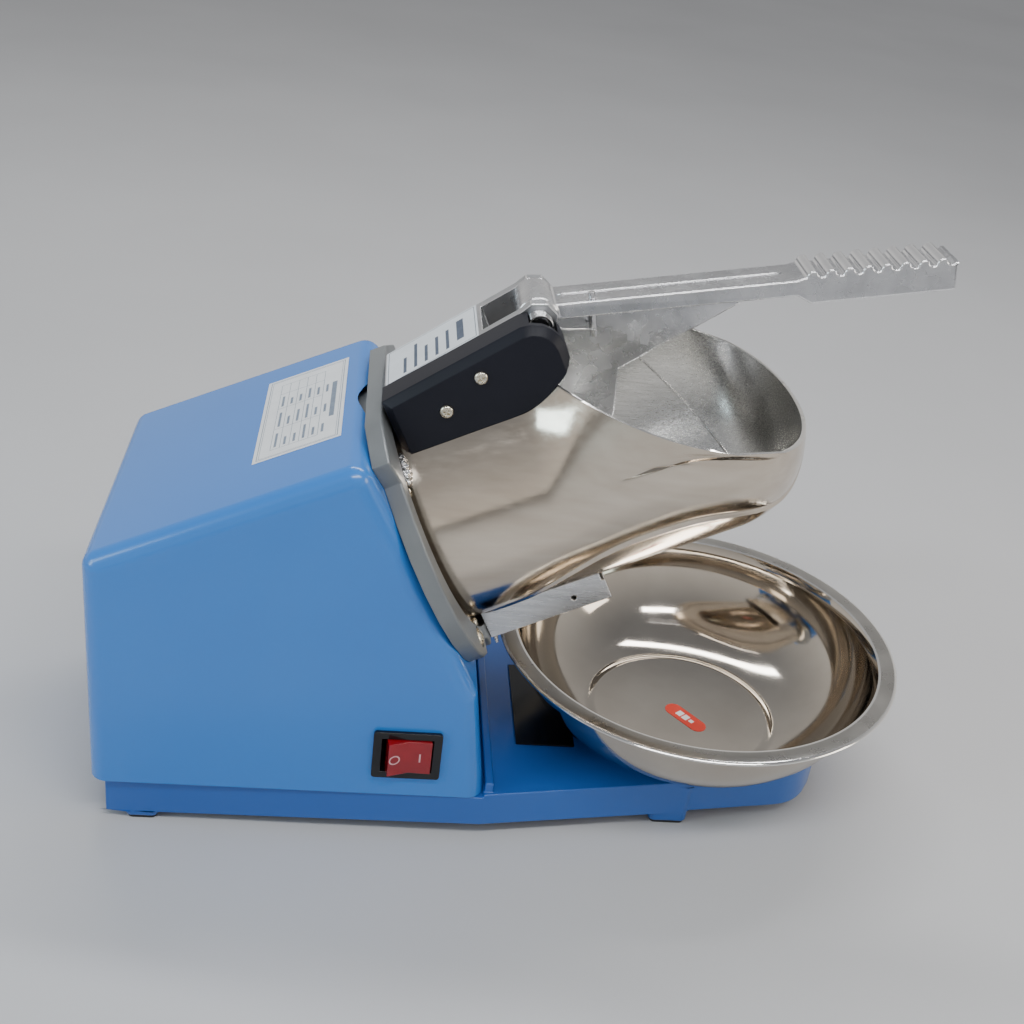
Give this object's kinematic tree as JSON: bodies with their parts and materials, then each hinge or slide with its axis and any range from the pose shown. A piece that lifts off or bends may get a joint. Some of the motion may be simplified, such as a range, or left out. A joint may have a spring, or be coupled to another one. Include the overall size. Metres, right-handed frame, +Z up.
{
  "type": "electric shaved ice machine",
  "caption": "Electric ice shaver: inclined steel hopper with a hinged press lever, spinning blade disc, motor body on a tongued base and a loose bowl under the chute.",
  "frame": {"origin": "on the table, in the middle of the machine and its bowl", "axes": "+X forward from the motor body to the bowl, +Y to the side away from the power switch, +Z up"},
  "size_m": [0.3969, 0.2, 0.2828],
  "materials": {
    "blue_paint": "glossy blue enamel",
    "base_blue": "satin blue enamel",
    "rubber": "matt",
    "steel_screw": "bright zinc plate",
    "bottom_steel": "plain",
    "black_plastic": "glossy black",
    "housing_black": "moulded satin black",
    "label_white": "printed film",
    "plate_grey": "satin grey",
    "barrel_steel": "polished outside, brushed inside",
    "bowl_steel": "mirror inside, satin rim",
    "cast_aluminium": "as cast, burnished",
    "chute_aluminium": "sheet",
    "spring_steel": "drawn wire",
    "sticker_red": "printed film",
    "blade_steel": "ground",
    "motor_grey": "satin",
    "copper": "enamelled wire",
    "laminations": "stacked sheet",
    "rocker_red": "translucent red",
    "lead_yellow_green": "pvc",
    "terminal_cream": "moulded"
  },
  "bodies": {
    "machine": {"base_casting": "base_blue", "foot_pads": "rubber", "foot_screws": "steel_screw", "bottom_plate": "bottom_steel", "bottom_plate_screws": "steel_screw", "drip_pad": "black_plastic", "body_cover": "blue_paint", "cover_screws": "steel_screw", "rating_label": "label_white", "face_plate": "plate_grey", "face_plate_bolts": "steel_screw", "face_plate_nuts": "steel_screw", "upper_plate_screws": "steel_screw", "hopper_barrel": "barrel_steel", "hopper_screws": "steel_screw", "hinge_bracket": "cast_aluminium", "bracket_screws": "steel_screw", "bracket_label": "label_white", "hinge_pin": "spring_steel", "hinge_pin_clip": "spring_steel", "return_spring": "spring_steel", "switch_housing": "housing_black", "switch_housing_screws": "steel_screw", "microswitch": "housing_black", "switch_lead": "lead_yellow_green", "snow_chute": "chute_aluminium", "motor_front_bell": "cast_aluminium", "motor_rear_bell": "cast_aluminium", "motor_can": "motor_grey", "stator_core": "laminations", "stator_windings": "copper", "motor_bearings": "spring_steel", "shaft_seal": "rubber", "motor_bolts": "steel_screw", "start_capacitor": "terminal_cream", "capacitor_clip": "bottom_steel", "terminal_block": "terminal_cream", "cord_gland": "rubber", "gland_nut": "housing_black", "rocker_case": "black_plastic"},
    "lever": {"press_lever": "cast_aluminium", "press_plate": "cast_aluminium", "press_plate_screws": "steel_screw", "spring_peg": "spring_steel"},
    "rotor": {"rotor_shaft": "laminations", "cooling_fan": "housing_black", "blade_disc": "blade_steel", "shaving_blades": "blade_steel", "blade_screws": "steel_screw", "disc_nut": "steel_screw", "disc_washer": "steel_screw"},
    "bowl": {"bowl": "bowl_steel", "bowl_sticker": "sticker_red"},
    "rocker": {"rocker_button": "rocker_red"},
    "plunger": {"microswitch_plunger": "rocker_red"}
  },
  "joints": [
    {"name": "lever_hinge", "type": "hinge", "parent": "machine", "child": "lever", "pos_m": [-0.00348, 0, 0.24107], "axis": [0, -1, 0], "range_deg": [-18.7, 75], "stiffness_Nm_per_rad": 2, "springref_deg": 5.73},
    {"name": "rotor_spin", "type": "hinge", "parent": "machine", "child": "rotor", "pos_m": [-0.04421, 0, 0.13872], "axis": [0.8926, 0, 0.4509], "continuous": true},
    {"name": "bowl_slide", "type": "slide", "parent": "machine", "child": "bowl", "axis": [1, 0, 0], "range_m": [0, 0.09]},
    {"name": "power_rocker", "type": "hinge", "parent": "machine", "child": "rocker", "pos_m": [-0.0444, -0.068, 0.0492], "axis": [0, 0, 1], "range_deg": [-18, 0]},
    {"name": "safety_plunger", "type": "slide", "parent": "machine", "child": "plunger", "axis": [-0.8926, 0, -0.4509], "range_m": [0, 0.0015], "stiffness_N_per_m": 150}
  ]
}
